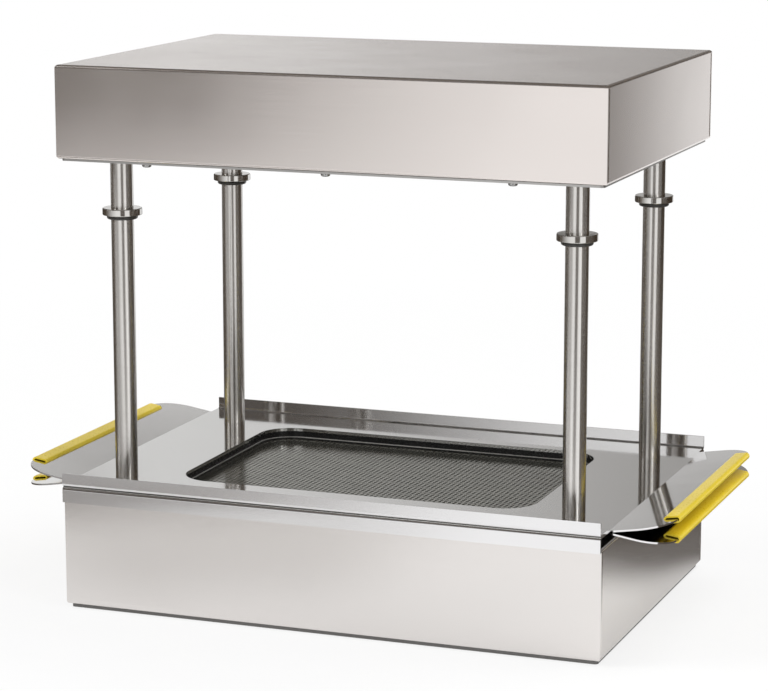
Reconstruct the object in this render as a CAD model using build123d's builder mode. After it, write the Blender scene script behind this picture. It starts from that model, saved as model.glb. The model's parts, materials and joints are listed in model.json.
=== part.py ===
from build123d import *
import os
from math import cos, pi, radians, sin, sqrt

os.makedirs("parts", exist_ok=True)

# Hobby vacuum forming machine. A folded base carries four columns, the columns carry a
# folded heater box, and a two-part clamping frame slides on the columns between them.
# Millimetres. The origin is on the floor under the middle of the base, +X points right,
# +Y back and +Z up.

# ---- Driving dimensions: the window, and the folded boxes built round it -------------
window_width = 265.0
window_depth = 182.0
window_corner = 25.0
column_clear_x = 34.9
column_clear_y = 5.3
column_inset_x = 31.0
column_inset_y = 38.0
base_height = 80.0
heater_overhang = 1.0
heater_height = 65.3
heater_clearance = 243.1
shell_wall = 1.2
shell_bend = 2.2
corner_bend = 3.0
return_flange = 12.0
lid_inset = 2.5

# ---- Driving dimensions: columns and their fixings ----------------------------------
column_diameter = 16.0
column_wall = 1.5
running_clearance = 0.1
plug_length = 20.0
nipple_diameter = 10.0
nipple_bore = 6.4
nipple_engagement = 16.0
nipple_stick_out = 2.0
nut_across_flats = 14.0
nut_height = 6.0
washer_diameter = 20.0
washer_thickness = 1.5
stop_ring_diameter = 28.0
stop_ring_height = 5.0
stop_ring_drop = 38.75
stop_ring_edge = 0.6
stop_cushion_cord = 3.0

# ---- Driving dimensions: the clamping frame -----------------------------------------
frame_sheet = 1.2
frame_bend = 2.4
skirt_gap = 1.95
lower_skirt_height = 11.2
upper_rim_height = 9.8
crease_offset = 1.4
handle_reach = 41.5
handle_length = 244.0
handle_flare = 9.0
handle_corner = 24.0
handle_bend = 3.0
trim_width = 12.0
trim_thickness = 5.0
trim_wall = 1.2
trim_overlap = 9.0

# ---- Driving dimensions: the vacuum platen ------------------------------------------
platen_rim = 7.5
platen_thickness = 2.0
platen_corner = 8.0
platen_hole = 3.9
platen_hole_pitch = 10.0
gasket_height = 6.0
gasket_width = 10.0
gasket_set_back = 1.0
gasket_edge = 0.8
gasket_foot_width = 1.5
gasket_foot_height = 1.0
plenum_depth = 56.0
plenum_sheet = 1.0
plenum_flange = 14.0
plenum_corner = 10.0
spigot_diameter = 35.0
spigot_wall = 2.0
spigot_length = 32.0
spigot_flange = 50.0
spigot_flange_thickness = 3.0
spigot_flange_corner = 5.0
spigot_screw_pitch = 37.0
spigot_x = 90.0
spigot_drop = 32.0
seal_lip = 2.5
seal_groove = 3.0

# ---- Driving dimensions: inside the base --------------------------------------------
base_plate_thickness = 2.5
brace_width = 30.0
brace_height = 40.0
brace_sheet = 2.5
brace_lip = 12.0
brace_end_gap = 19.3
screw_diameter = 4.0
screw_head_diameter = 7.6
screw_head_height = 2.2
screw_length = 8.0
socket_share = 0.33
socket_depth_share = 0.6
head_round_share = 0.7
clinch_nut_diameter = 8.0
clinch_nut_height = 3.2
flange_screw_inset = 7.0
small_screw_diameter = 3.0
small_screw_head = 5.6
small_screw_head_height = 1.6
small_screw_length = 9.0
small_nut_diameter = 6.0
small_nut_height = 2.4

# ---- Driving dimensions: mains parts on the back ------------------------------------
inlet_x = -130.0
inlet_z = 42.0
inlet_flange_width = 49.0
inlet_flange_height = 23.0
inlet_flange_thickness = 3.0
inlet_corner = 3.0
inlet_body_width = 27.6
inlet_body_height = 19.8
inlet_body_depth = 22.0
inlet_socket_width = 24.4
inlet_socket_height = 16.4
inlet_socket_depth = 17.0
inlet_screw_pitch = 40.0
pin_width = 2.0
pin_height = 4.0
pin_pitch = 7.0
switch_x = -80.0
switch_z = 42.0
bezel_width = 22.0
bezel_height = 30.0
bezel_thickness = 2.0
switch_body_width = 19.6
switch_body_height = 27.2
switch_body_depth = 20.0
well_depth = 9.0
rocker_width = 14.8
rocker_length = 20.0
rocker_gap = 0.4
rocker_throw = 14.0
rocker_rise = 4.0
rocker_dip = 2.0
rocker_pin = 3.0
pin_grip = 1.2
pin_running_clearance = 0.05
tab_width = 6.3
tab_thickness = 0.8
tab_length = 8.0
tab_gap = 2.0
cable_diameter = 5.0
cable_bend = 9.0
cable_gap = 2.0
base_block_width = 16.0
base_block_length = 40.0
base_block_height = 18.0
block_corner = 1.0
terminal_pitch_x = 8.0
terminal_pitch_y = 10.0
terminal_well = 4.0
terminal_well_depth = 6.0

# ---- Driving dimensions: inside the heater box --------------------------------------
heater_floor_thickness = 1.5
radiant_margin = 6.0
button_head_diameter = 6.6
button_head_height = 2.2
button_screw_inset = 65.9
reflector_gap_x = 1.4
reflector_gap_y = 33.3
reflector_height = 41.0
reflector_sheet = 1.0
reflector_flange = 6.0
blanket_thickness = 20.0
blanket_corner = 5.0
element_count = 6
element_edge = 9.0
element_diameter = 12.0
element_end_gap = 10.0
element_height = 20.0
end_cap_diameter = 17.0
end_cap_length = 15.0
bracket_sheet = 1.5
bracket_inset = 10.0
bracket_height = 33.0
guard_rail = 3.0
guard_rod = 2.0
guard_ledge = 4.5
guard_pitch = 24.0
heater_block_width = 18.0
heater_block_length = 44.0
heater_block_height = 18.0
soft_gap = 0.3

# ---- Levels and places worked out from the sizes above ------------------------------
base_plate_top = base_plate_thickness
deck_top = base_height
deck_underside = deck_top - shell_wall
platen_top = deck_top + platen_thickness
gasket_top = platen_top + gasket_height
parting_level = gasket_top + frame_sheet
upper_plate_top = parting_level + frame_sheet
heater_cover_bottom = base_height + heater_clearance
heater_top = heater_cover_bottom + heater_height
heater_floor_bottom = heater_cover_bottom - heater_floor_thickness
brace_top = base_plate_top + brace_height
column_radius = column_diameter / 2
column_bore_radius = column_radius - column_wall
column_x = window_width / 2 + column_clear_x
column_y = window_depth / 2 + column_clear_y
box_width = 2 * (column_x + column_inset_x)
base_depth = 2 * (column_y + column_inset_y)
heater_depth = base_depth + 2 * heater_overhang
frame_depth = base_depth + 2 * (skirt_gap + frame_sheet)
handle_crease = box_width + 2 * crease_offset
trim_length = handle_length - 2 * handle_corner
brace_length = base_depth - 2 * brace_end_gap
stop_ring_bottom = heater_floor_bottom - stop_ring_drop - stop_ring_height / 2
stop_cushion_bottom = stop_ring_bottom - stop_cushion_cord
frame_travel = stop_cushion_bottom - upper_plate_top - soft_gap
back_wall_outside = base_depth / 2
back_wall_inside = back_wall_outside - shell_wall
column_names = {
    "front_left": (-column_x, -column_y),
    "front_right": (column_x, -column_y),
    "back_left": (-column_x, column_y),
    "back_right": (column_x, column_y),
}
column_spots = list(column_names.values())
cable_column = column_names["back_right"]
gasket_inner_width = window_width + 2 * gasket_set_back
gasket_inner_depth = window_depth + 2 * gasket_set_back
gasket_outer_width = gasket_inner_width + 2 * gasket_width
gasket_outer_depth = gasket_inner_depth + 2 * gasket_width
platen_width = gasket_outer_width + 2 * platen_rim
platen_depth = gasket_outer_depth + 2 * platen_rim
plenum_width = platen_width - 2 * plenum_flange
plenum_inner_depth = platen_depth - 2 * plenum_flange
plenum_bottom = deck_underside - plenum_depth
plenum_back = plenum_inner_depth / 2 + plenum_sheet
spigot_z = deck_top - spigot_drop
platen_screw_x = (gasket_outer_width + platen_width) / 4
platen_screw_y = (gasket_outer_depth + platen_depth) / 4
platen_screw_spots = [(x, y) for x in (-platen_screw_x, 0, platen_screw_x)
                      for y in (-platen_screw_y, platen_screw_y)]
platen_screw_spots += [(-platen_screw_x, 0), (platen_screw_x, 0)]
flange_screw_x = box_width / 2 - flange_screw_inset
flange_screw_y = base_depth / 2 - flange_screw_inset
flange_screw_spots = [(x, y) for x in (-flange_screw_x, 0, flange_screw_x)
                      for y in (-flange_screw_y, flange_screw_y)]
flange_screw_spots += [(-flange_screw_x, 0), (flange_screw_x, 0)]
brace_screw_offset = (brace_width - brace_sheet - brace_lip) / 2
brace_screw_spots = [(x + side * brace_screw_offset, y)
                     for x in (-column_x, column_x) for side in (-1, 1)
                     for y in (-brace_length / 3, brace_length / 3)]
base_screw_spots = flange_screw_spots + brace_screw_spots
heater_screw_x = box_width / 2 - button_screw_inset
heater_screw_y = heater_depth / 2 - flange_screw_inset
heater_screw_spots = [(x, y) for x in (-heater_screw_x, 0, heater_screw_x)
                      for y in (-heater_screw_y, heater_screw_y)]
reflector_width = (2 * column_x - washer_diameter
                   - 2 * (reflector_flange + reflector_gap_x))
reflector_depth = heater_depth - 2 * reflector_gap_y
reflector_top = heater_cover_bottom + reflector_height
radiant_width = reflector_width - 2 * radiant_margin
radiant_depth = reflector_depth - 2 * radiant_margin
element_length = reflector_width - 2 * element_end_gap
element_pitch = (reflector_depth - 2 * element_edge) / element_count
element_level = heater_cover_bottom + element_height
element_spots = [(element_index - (element_count - 1) / 2) * element_pitch
                 for element_index in range(element_count)]


# ---- Helpers: shapes that occur more than once --------------------------------------
def folded_cover(depth, bottom, top):
    """A box folded from sheet: open below, with return flanges and grooved corners."""
    height = top - bottom
    bend_inside = shell_bend - shell_wall
    with BuildPart() as hollow:
        with BuildSketch(Plane.XY.offset(bottom + shell_wall)):
            Rectangle(box_width - 2 * shell_wall, depth - 2 * shell_wall)
        extrude(amount=height - 2 * shell_wall)
        fillet(hollow.edges().filter_by(Axis.Z, reverse=True), bend_inside)
    with BuildPart() as cover:
        with BuildSketch(Plane.XY.offset(bottom)):
            Rectangle(box_width, depth)
        extrude(amount=height)
        fillet(cover.edges().filter_by(Axis.Z, reverse=True), shell_bend)
        add(hollow.part, mode=Mode.SUBTRACT)
        with BuildSketch(Plane.XY.offset(bottom)):
            Rectangle(box_width - 2 * return_flange, depth - 2 * return_flange)
        extrude(amount=height / 2, mode=Mode.SUBTRACT)
        # Between its bends the cover's walls are drawn in plan: the side panels turn in
        # behind the front and back panels, which leaves a groove down each corner.
        with BuildSketch(Plane.XY.offset(bottom + shell_bend)):
            Rectangle(box_width, depth)
        extrude(amount=height - 2 * shell_bend, mode=Mode.SUBTRACT)
        with BuildSketch(Plane.XY.offset(bottom + shell_bend)):
            RectangleRounded(box_width, depth - 2 * shell_wall, corner_bend)
            RectangleRounded(box_width - 2 * shell_wall, depth - 4 * shell_wall,
                             corner_bend - shell_wall, mode=Mode.SUBTRACT)
            Rectangle(box_width - 2 * return_flange, depth, mode=Mode.SUBTRACT)
            with GridLocations(0, depth - shell_wall, 1, 2):
                Rectangle(box_width, shell_wall)
        extrude(amount=height - 2 * shell_bend)
    return cover.part


def frame_plate(side, edge_height):
    """One plate of the clamping frame, its inner face on the parting level.

    side is 1 for the upper plate, whose edges and handles turn up, and -1 for the lower.
    """
    half_depth = frame_depth / 2
    flare = radians(handle_flare)
    wing_tip = (handle_crease / 2 + handle_reach * cos(flare),
                parting_level + side * handle_reach * sin(flare))
    inward = Side.LEFT if side > 0 else Side.RIGHT
    with BuildPart() as plate:
        with BuildSketch(Plane.XZ):
            with BuildLine():
                FilletPolyline((column_x, parting_level),
                               (handle_crease / 2, parting_level),
                               wing_tip, radius=handle_bend)
                offset(amount=frame_sheet, side=inward)
            make_face()
        extrude(amount=handle_length / 2, both=True)
        mirror(about=Plane.YZ)
        with BuildSketch(Plane.XY.offset(parting_level)):
            RectangleRounded(2 * wing_tip[0], handle_length, handle_corner)
        extrude(amount=handle_reach, both=True, mode=Mode.INTERSECT)
        with BuildSketch(Plane.YZ):
            with BuildLine():
                FilletPolyline((-half_depth, parting_level + side * edge_height),
                               (-half_depth, parting_level),
                               (half_depth, parting_level),
                               (half_depth, parting_level + side * edge_height),
                               radius=frame_bend)
                offset(amount=frame_sheet, side=inward)
            make_face()
        extrude(amount=box_width / 2, both=True)
        with BuildSketch(Plane.XY.offset(parting_level)):
            RectangleRounded(window_width, window_depth, window_corner)
            with Locations(*column_spots):
                Circle(column_radius + running_clearance)
        extrude(amount=frame_sheet * 2, both=True, mode=Mode.SUBTRACT)
    return plate.part


def handle_trim(side, x_side):
    """The plastic sleeve pushed over the edge of one handle."""
    flare = radians(handle_flare)
    outward = (x_side * cos(flare), 0, side * sin(flare))
    crease = (x_side * (handle_crease / 2 - sin(flare) * frame_sheet / 2), 0,
              parting_level + side * cos(flare) * frame_sheet / 2)
    middle = handle_reach - trim_overlap + trim_width / 2 - trim_wall
    trim_plane = Plane(origin=crease, x_dir=outward, z_dir=(0, -1, 0))
    with BuildPart() as trim:
        with BuildSketch(trim_plane):
            with Locations((middle, 0)):
                SlotOverall(trim_width, trim_thickness)
                SlotOverall(trim_width - 2 * trim_wall, trim_thickness - 2 * trim_wall,
                            mode=Mode.SUBTRACT)
            with Locations((middle - trim_width / 2, 0)):
                Rectangle(trim_width, frame_sheet, mode=Mode.SUBTRACT)
        extrude(amount=trim_length / 2, both=True)
    return trim.part


def countersunk_screw(diameter, head_diameter, head_height, length):
    """A countersunk screw, its head's face at z = 0 and its shank pointing up."""
    with BuildPart() as screw:
        Cylinder(diameter / 2, length, align=(Align.CENTER, Align.CENTER, Align.MIN))
        Cone(head_diameter / 2, diameter / 2, head_height,
             align=(Align.CENTER, Align.CENTER, Align.MIN))
        with BuildSketch(Plane.XY):
            RegularPolygon(diameter * socket_share, 6)
        extrude(amount=head_height * socket_depth_share, mode=Mode.SUBTRACT)
    return screw.part


def button_screw(diameter, head_diameter, head_height, length):
    """A button-head screw, its head below z = 0 and its shank pointing up."""
    with BuildPart() as screw:
        Cylinder(diameter / 2, length, align=(Align.CENTER, Align.CENTER, Align.MIN))
        Cylinder(head_diameter / 2, head_height,
                 align=(Align.CENTER, Align.CENTER, Align.MAX))
        fillet(screw.edges().group_by(Axis.Z)[0], head_height * head_round_share)
        with BuildSketch(Plane.XY.offset(-head_height)):
            RegularPolygon(diameter * socket_share, 6)
        extrude(amount=head_height * socket_depth_share, mode=Mode.SUBTRACT)
    return screw.part


# ---- Base: folded shell, floor plate and column braces ------------------------------
with BuildPart() as base_shell:
    add(folded_cover(base_depth, base_plate_top, deck_top))
    with BuildSketch(Plane.XY.offset(deck_top)):
        RectangleRounded(plenum_width, plenum_inner_depth, plenum_corner)
        with Locations(*column_spots):
            Circle(column_radius)
        with Locations(*platen_screw_spots):
            Circle(small_screw_diameter / 2)
    extrude(amount=-2 * shell_wall, mode=Mode.SUBTRACT)
    with BuildSketch(Plane.XY.offset(base_plate_top)):
        with Locations(*flange_screw_spots):
            Circle(screw_diameter / 2)
    extrude(amount=shell_wall, mode=Mode.SUBTRACT)
    with BuildSketch(Plane.XZ.offset(-back_wall_outside)):
        with Locations((spigot_x, spigot_z)):
            Circle(spigot_diameter / 2)
            with GridLocations(spigot_screw_pitch, spigot_screw_pitch, 2, 2):
                Circle(small_screw_diameter / 2)
        with Locations((inlet_x, inlet_z)):
            Rectangle(inlet_body_width, inlet_body_height)
            with GridLocations(inlet_screw_pitch, 0, 2, 1):
                Circle(small_screw_diameter / 2)
        with Locations((switch_x, switch_z)):
            Rectangle(switch_body_width, switch_body_height)
    extrude(amount=return_flange, mode=Mode.SUBTRACT)
base_shell.part.label = "base_shell"
export_step(base_shell.part, "parts/base_shell.step")

with BuildPart() as base_plate:
    with BuildSketch(Plane.XY):
        RectangleRounded(box_width - 2 * lid_inset, base_depth - 2 * lid_inset, lid_inset)
    extrude(amount=base_plate_thickness)
    with Locations(*[(x, y, 0) for x, y in base_screw_spots]):
        Cylinder(screw_diameter / 2, base_plate_thickness, mode=Mode.SUBTRACT,
                 align=(Align.CENTER, Align.CENTER, Align.MIN))
        Cone(screw_head_diameter / 2, screw_diameter / 2, screw_head_height,
             mode=Mode.SUBTRACT, align=(Align.CENTER, Align.CENTER, Align.MIN))
base_plate.part.label = "base_plate"
export_step(base_plate.part, "parts/base_plate.step")

base_screw = countersunk_screw(screw_diameter, screw_head_diameter,
                               screw_head_height, screw_length)
with BuildPart() as base_plate_screws:
    with Locations(*[(x, y, 0) for x, y in base_screw_spots]):
        add(base_screw)
base_plate_screws.part.label = "base_plate_screws"
export_step(base_plate_screws.part, "parts/base_plate_screws.step")

with BuildPart() as base_clinch_nuts:
    with BuildSketch(Plane.XY.offset(base_plate_top + shell_wall)):
        with Locations(*flange_screw_spots):
            Circle(clinch_nut_diameter / 2)
            Circle(screw_diameter / 2, mode=Mode.SUBTRACT)
    extrude(amount=clinch_nut_height)
    with BuildSketch(Plane.XY.offset(base_plate_top + brace_sheet)):
        with Locations(*brace_screw_spots):
            Circle(clinch_nut_diameter / 2)
            Circle(screw_diameter / 2, mode=Mode.SUBTRACT)
    extrude(amount=clinch_nut_height)
base_clinch_nuts.part.label = "base_clinch_nuts"
export_step(base_clinch_nuts.part, "parts/base_clinch_nuts.step")

# Each brace is a lipped channel under the deck that a front and a back column stand on.
for brace_side, brace_x in (("left", -column_x), ("right", column_x)):
    with BuildPart() as brace:
        with BuildSketch(Plane.XZ):
            with Locations((brace_x, base_plate_top + brace_height / 2)):
                Rectangle(brace_width, brace_height)
                Rectangle(brace_width - 2 * brace_sheet, brace_height - 2 * brace_sheet,
                          mode=Mode.SUBTRACT)
            with Locations((brace_x, base_plate_top + brace_sheet / 2)):
                Rectangle(brace_width - 2 * brace_lip, brace_sheet, mode=Mode.SUBTRACT)
        extrude(amount=brace_length / 2, both=True)
        with BuildSketch(Plane.XY.offset(brace_top)):
            with Locations((brace_x, -column_y), (brace_x, column_y)):
                Circle(nipple_diameter / 2)
        extrude(amount=-brace_sheet, mode=Mode.SUBTRACT)
        with BuildSketch(Plane.XY.offset(base_plate_top)):
            with Locations(*brace_screw_spots):
                Circle(screw_diameter / 2)
        extrude(amount=brace_sheet, mode=Mode.SUBTRACT)
    brace.part.label = f"column_brace_{brace_side}"
    export_step(brace.part, f"parts/column_brace_{brace_side}.step")

# ---- Vacuum side: plenum, perforated platen, gasket and hose spigot -----------------
with BuildPart() as plenum_tray:
    with BuildSketch(Plane.XY.offset(deck_underside)):
        RectangleRounded(platen_width, platen_depth, platen_corner)
    extrude(amount=-plenum_sheet)
    with BuildSketch(Plane.XY.offset(plenum_bottom - plenum_sheet)):
        RectangleRounded(plenum_width + 2 * plenum_sheet,
                         plenum_inner_depth + 2 * plenum_sheet,
                         plenum_corner + plenum_sheet)
    extrude(amount=plenum_depth)
    with BuildSketch(Plane.XY.offset(plenum_bottom)):
        RectangleRounded(plenum_width, plenum_inner_depth, plenum_corner)
    extrude(amount=plenum_depth, mode=Mode.SUBTRACT)
    with BuildSketch(Plane.XY.offset(deck_underside)):
        with Locations(*platen_screw_spots):
            Circle(small_screw_diameter / 2)
    extrude(amount=-plenum_sheet, mode=Mode.SUBTRACT)
    with BuildSketch(Plane.XZ.offset(-plenum_back)):
        with Locations((spigot_x, spigot_z)):
            Circle(spigot_diameter / 2 + seal_lip)
    extrude(amount=2 * plenum_sheet, mode=Mode.SUBTRACT)
plenum_tray.part.label = "plenum_tray"
export_step(plenum_tray.part, "parts/plenum_tray.step")

# The hole pattern is drawn coarser and larger than the real sheet's, to stay light.
with BuildSketch(Plane.XY.offset(deck_top)) as platen_outline:
    RectangleRounded(platen_width, platen_depth, platen_corner)
    with Locations(*platen_screw_spots):
        Circle(small_screw_diameter / 2, mode=Mode.SUBTRACT)
hole_row_pitch = platen_hole_pitch * sqrt(3) / 2
hole_columns = int((plenum_width / 2 - platen_hole) / hole_row_pitch)
hole_rows = int((plenum_inner_depth / 2 - platen_hole) / platen_hole_pitch)
platen_hole_rims = []
for column_index in range(-hole_columns, hole_columns + 1):
    stagger = platen_hole_pitch / 2 * (column_index % 2)
    for row_index in range(-hole_rows, hole_rows + 1 - column_index % 2):
        hole_spot = (column_index * hole_row_pitch,
                     row_index * platen_hole_pitch + stagger, deck_top)
        platen_hole_rims.append(Wire.make_circle(platen_hole / 2, Plane(hole_spot)))
with BuildPart() as perforated_platen:
    extrude(platen_outline.sketch.face().make_holes(platen_hole_rims),
            amount=platen_thickness, clean=False)
perforated_platen.part.label = "perforated_platen"
export_step(perforated_platen.part, "parts/perforated_platen.step")

cover_screw = button_screw(small_screw_diameter, small_screw_head,
                           small_screw_head_height, small_screw_length)
with BuildPart() as platen_screws:
    with Locations(*[(x, y, platen_top) for x, y in platen_screw_spots]):
        add(cover_screw, rotation=(180, 0, 0))
platen_screws.part.label = "platen_screws"
export_step(platen_screws.part, "parts/platen_screws.step")

with BuildPart() as platen_nuts:
    with BuildSketch(Plane.XY.offset(deck_underside - plenum_sheet)):
        with Locations(*platen_screw_spots):
            RegularPolygon(small_nut_diameter / 2, 6)
            Circle(small_screw_diameter / 2, mode=Mode.SUBTRACT)
    extrude(amount=-small_nut_height)
platen_nuts.part.label = "platen_nuts"
export_step(platen_nuts.part, "parts/platen_nuts.step")

with BuildPart() as platen_gasket:
    with BuildSketch(Plane.XY.offset(platen_top)):
        RectangleRounded(gasket_outer_width, gasket_outer_depth,
                         window_corner + gasket_set_back + gasket_width)
        RectangleRounded(gasket_inner_width, gasket_inner_depth,
                         window_corner + gasket_set_back, mode=Mode.SUBTRACT)
    extrude(amount=gasket_height)
    fillet(platen_gasket.edges().group_by(Axis.Z)[-1], gasket_edge)
    with BuildSketch(Plane.XY.offset(platen_top)):
        RectangleRounded(gasket_inner_width, gasket_inner_depth,
                         window_corner + gasket_set_back)
        RectangleRounded(gasket_inner_width - 2 * gasket_foot_width,
                         gasket_inner_depth - 2 * gasket_foot_width,
                         window_corner + gasket_set_back - gasket_foot_width,
                         mode=Mode.SUBTRACT)
    extrude(amount=gasket_foot_height)
platen_gasket.part.label = "platen_gasket"
export_step(platen_gasket.part, "parts/platen_gasket.step")

# The spigot passes through the back wall into the plenum, where a grooved ring seals it.
with BuildPart() as hose_spigot:
    with BuildSketch(Plane.XZ.offset(-back_wall_outside)):
        with Locations((spigot_x, spigot_z)):
            RectangleRounded(spigot_flange, spigot_flange, spigot_flange_corner)
            with GridLocations(spigot_screw_pitch, spigot_screw_pitch, 2, 2):
                Circle(small_screw_diameter / 2, mode=Mode.SUBTRACT)
    extrude(amount=-spigot_flange_thickness)
    with BuildSketch(Plane.XZ.offset(-plenum_back + seal_groove)):
        with Locations((spigot_x, spigot_z)):
            Circle(spigot_diameter / 2)
    extrude(amount=-(back_wall_outside + spigot_flange_thickness
                     + spigot_length - plenum_back + seal_groove))
    with BuildSketch(Plane.XZ.offset(-plenum_back + seal_groove)):
        with Locations((spigot_x, spigot_z)):
            Circle(spigot_diameter / 2 - spigot_wall)
    extrude(amount=-(back_wall_outside + spigot_flange_thickness
                     + spigot_length - plenum_back + seal_groove), mode=Mode.SUBTRACT)
hose_spigot.part.label = "hose_spigot"
export_step(hose_spigot.part, "parts/hose_spigot.step")

with BuildPart() as spigot_seal:
    with BuildSketch(Plane.XZ.offset(-plenum_back - seal_groove)):
        with Locations((spigot_x, spigot_z)):
            Circle(spigot_diameter / 2 + 2 * seal_lip)
    extrude(amount=2 * seal_groove + plenum_sheet)
    with BuildSketch(Plane.XZ.offset(-plenum_back)):
        with Locations((spigot_x, spigot_z)):
            Circle(spigot_diameter / 2 + 2 * seal_lip)
            Circle(spigot_diameter / 2 + seal_lip, mode=Mode.SUBTRACT)
    extrude(amount=plenum_sheet, mode=Mode.SUBTRACT)
    with BuildSketch(Plane.XZ.offset(-plenum_back - seal_groove)):
        with Locations((spigot_x, spigot_z)):
            Circle(spigot_diameter / 2)
    extrude(amount=2 * seal_groove + plenum_sheet, mode=Mode.SUBTRACT)
spigot_seal.part.label = "spigot_seal"
export_step(spigot_seal.part, "parts/spigot_seal.step")

with BuildPart() as spigot_screws:
    with Locations(Plane(origin=(spigot_x, back_wall_outside + spigot_flange_thickness,
                                 spigot_z), x_dir=(1, 0, 0), z_dir=(0, -1, 0))):
        with GridLocations(spigot_screw_pitch, spigot_screw_pitch, 2, 2):
            add(cover_screw)
spigot_screws.part.label = "spigot_screws"
export_step(spigot_screws.part, "parts/spigot_screws.step")

# ---- Mains parts on the back: inlet, rocker switch, cables --------------------------
with BuildPart() as power_inlet:
    with BuildSketch(Plane.XZ.offset(-back_wall_outside)):
        with Locations((inlet_x, inlet_z)):
            RectangleRounded(inlet_flange_width, inlet_flange_height, inlet_corner)
            with GridLocations(inlet_screw_pitch, 0, 2, 1):
                Circle(small_screw_diameter / 2, mode=Mode.SUBTRACT)
    extrude(amount=-inlet_flange_thickness)
    with BuildSketch(Plane.XZ.offset(-back_wall_outside)):
        with Locations((inlet_x, inlet_z)):
            Rectangle(inlet_body_width, inlet_body_height)
    extrude(amount=inlet_body_depth)
    with BuildSketch(Plane.XZ.offset(-back_wall_outside - inlet_flange_thickness)):
        with Locations((inlet_x, inlet_z)):
            RectangleRounded(inlet_socket_width, inlet_socket_height, inlet_corner)
    extrude(amount=inlet_socket_depth, mode=Mode.SUBTRACT)
    with BuildSketch(Plane.XZ.offset(-back_wall_outside + inlet_body_depth)):
        with Locations((inlet_x, inlet_z)):
            with Locations((-pin_pitch, 0), (0, pin_pitch / 2), (pin_pitch, 0)):
                Rectangle(pin_width, pin_height)
    extrude(amount=-inlet_body_depth, mode=Mode.SUBTRACT)
power_inlet.part.label = "power_inlet"
export_step(power_inlet.part, "parts/power_inlet.step")

with BuildPart() as inlet_pins:
    with BuildSketch(Plane.XZ.offset(-back_wall_outside + inlet_body_depth + tab_length)):
        with Locations((inlet_x, inlet_z)):
            with Locations((-pin_pitch, 0), (0, pin_pitch / 2), (pin_pitch, 0)):
                Rectangle(pin_width, pin_height)
    extrude(amount=-(inlet_body_depth + tab_length - inlet_flange_thickness / 2))
inlet_pins.part.label = "inlet_pins"
export_step(inlet_pins.part, "parts/inlet_pins.step")

with BuildPart() as inlet_screws:
    with Locations(Plane(origin=(inlet_x, back_wall_outside + inlet_flange_thickness,
                                 inlet_z), x_dir=(1, 0, 0), z_dir=(0, -1, 0))):
        with GridLocations(inlet_screw_pitch, 0, 2, 1):
            add(cover_screw)
inlet_screws.part.label = "inlet_screws"
export_step(inlet_screws.part, "parts/inlet_screws.step")

pivot_y = back_wall_outside + bezel_thickness / 2
well_width = rocker_width + 2 * rocker_gap
well_length = rocker_length + 2 * rocker_gap + bezel_thickness
with BuildPart() as switch_housing:
    with BuildSketch(Plane.XZ.offset(-back_wall_outside)):
        with Locations((switch_x, switch_z)):
            RectangleRounded(bezel_width, bezel_height, bezel_thickness)
    extrude(amount=-bezel_thickness)
    with BuildSketch(Plane.XZ.offset(-back_wall_outside)):
        with Locations((switch_x, switch_z)):
            Rectangle(switch_body_width, switch_body_height)
    extrude(amount=switch_body_depth)
    with BuildSketch(Plane.XZ.offset(-back_wall_outside - bezel_thickness)):
        with Locations((switch_x, switch_z)):
            Rectangle(well_width, well_length)
    extrude(amount=well_depth, mode=Mode.SUBTRACT)
    with BuildSketch(Plane.YZ.offset(switch_x)):
        with Locations((pivot_y, switch_z)):
            Circle(rocker_pin / 2 + pin_running_clearance)
    extrude(amount=well_width / 2 + pin_grip + rocker_gap / 2, both=True,
            mode=Mode.SUBTRACT)
switch_housing.part.label = "switch_housing"
export_step(switch_housing.part, "parts/switch_housing.step")

# The rocker is drawn in its off position, half its throw below the middle.
rocker_tilt = radians(-rocker_throw / 2)
rocker_plane = Plane(origin=(switch_x, pivot_y, switch_z),
                     x_dir=(0, cos(rocker_tilt), sin(rocker_tilt)), z_dir=(1, 0, 0))
with BuildPart() as switch_rocker:
    with BuildSketch(rocker_plane):
        with BuildLine():
            rocker_face = Polyline((0, -rocker_length / 2),
                                   (rocker_rise, -rocker_length / 2),
                                   (rocker_rise - rocker_dip, 0),
                                   (rocker_rise, rocker_length / 2),
                                   (0, rocker_length / 2))
            ThreePointArc(rocker_face @ 1, (-rocker_rise, 0), rocker_face @ 0)
        make_face()
    extrude(amount=rocker_width / 2, both=True)
    with BuildSketch(rocker_plane):
        Circle(rocker_pin / 2)
    extrude(amount=rocker_width / 2 + rocker_gap + pin_grip, both=True)
switch_rocker.part.label = "switch_rocker"
export_step(switch_rocker.part, "parts/switch_rocker.step")

switch_back = back_wall_outside - switch_body_depth
tab_x = (tab_width + tab_gap) / 2
tab_spots = [(switch_x + x, switch_z + z) for x in (-tab_x, tab_x)
             for z in (-tab_width, tab_width)]
with BuildPart() as switch_tabs:
    with BuildSketch(Plane.XZ.offset(-switch_back)):
        with Locations(*tab_spots):
            Rectangle(tab_width, tab_thickness)
    extrude(amount=tab_length)
switch_tabs.part.label = "switch_tabs"
export_step(switch_tabs.part, "parts/switch_tabs.step")

# The block stands on the right brace's lips. Its two cables leave from its back face.
block_floor = base_plate_top + brace_sheet
cable_level = block_floor + base_block_height / 2
cable_pitch = cable_diameter + cable_gap
block_x = cable_column[0] - cable_pitch / 2
with BuildPart() as base_terminal_block:
    with BuildSketch(Plane.XY.offset(block_floor)):
        with Locations((block_x, 0)):
            RectangleRounded(base_block_width, base_block_length, block_corner)
    extrude(amount=base_block_height)
    with BuildSketch(Plane.XY.offset(block_floor + base_block_height)):
        with Locations((block_x, 0)):
            with GridLocations(terminal_pitch_x, terminal_pitch_y, 2, 3):
                Circle(terminal_well / 2)
    extrude(amount=-terminal_well_depth, mode=Mode.SUBTRACT)
base_terminal_block.part.label = "base_terminal_block"
export_step(base_terminal_block.part, "parts/base_terminal_block.step")

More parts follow.
